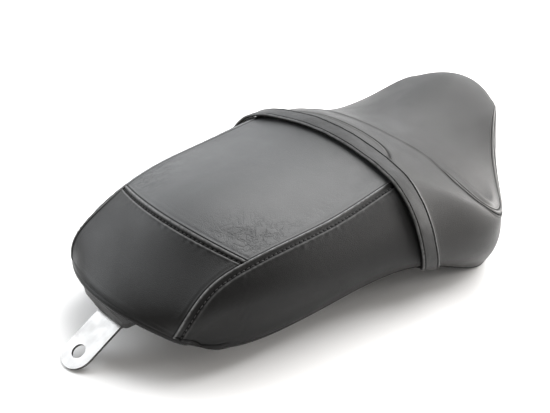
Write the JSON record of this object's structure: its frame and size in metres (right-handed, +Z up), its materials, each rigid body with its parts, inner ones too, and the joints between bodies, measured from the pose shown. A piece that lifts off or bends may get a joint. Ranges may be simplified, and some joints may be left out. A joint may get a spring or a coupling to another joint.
{
  "type": "motorcycle seat",
  "caption": "Two-up motorcycle seat with a dished rider's place, a stepped-up pillion place, a grab strap across it and a steel fixing tab at the rear.",
  "frame": {"origin": "middle of the seat's box in plan, on the surface that the seat rests on: the two hips of the cover and the tip of the rear tab", "axes": "+X forward, towards the nose; +Y to the rider's left; +Z up"},
  "size_m": [0.6871, 0.381, 0.1801],
  "materials": {
    "vinyl": "satin",
    "strap_vinyl": "satin",
    "thread": "matte",
    "foam": "matte",
    "pan_plastic": "matte",
    "bracket_steel": "satin",
    "fixings_steel": "satin",
    "bumper_rubber": "matte"
  },
  "bodies": {
    "root": {"base_pan": "pan_plastic", "bracket_rivets": "fixings_steel", "cover_hem_fold": "vinyl", "cover_staples": "fixings_steel", "foam_cushion": "foam", "front_left_bumper": "bumper_rubber", "front_right_bumper": "bumper_rubber", "front_tongue": "bracket_steel", "grab_strap": "strap_vinyl", "hip_panel": "vinyl", "left_side_panel": "vinyl", "left_strap_plate": "fixings_steel", "middle_left_bumper": "bumper_rubber", "middle_right_bumper": "bumper_rubber", "pillion_top_panel": "vinyl", "rear_bracket": "bracket_steel", "rear_left_bumper": "bumper_rubber", "rear_panel": "vinyl", "rear_right_bumper": "bumper_rubber", "rider_top_panel": "vinyl", "right_side_panel": "vinyl", "right_strap_plate": "fixings_steel", "strap_screws": "fixings_steel", "tongue_rivets": "fixings_steel"}
  },
  "joints": []
}
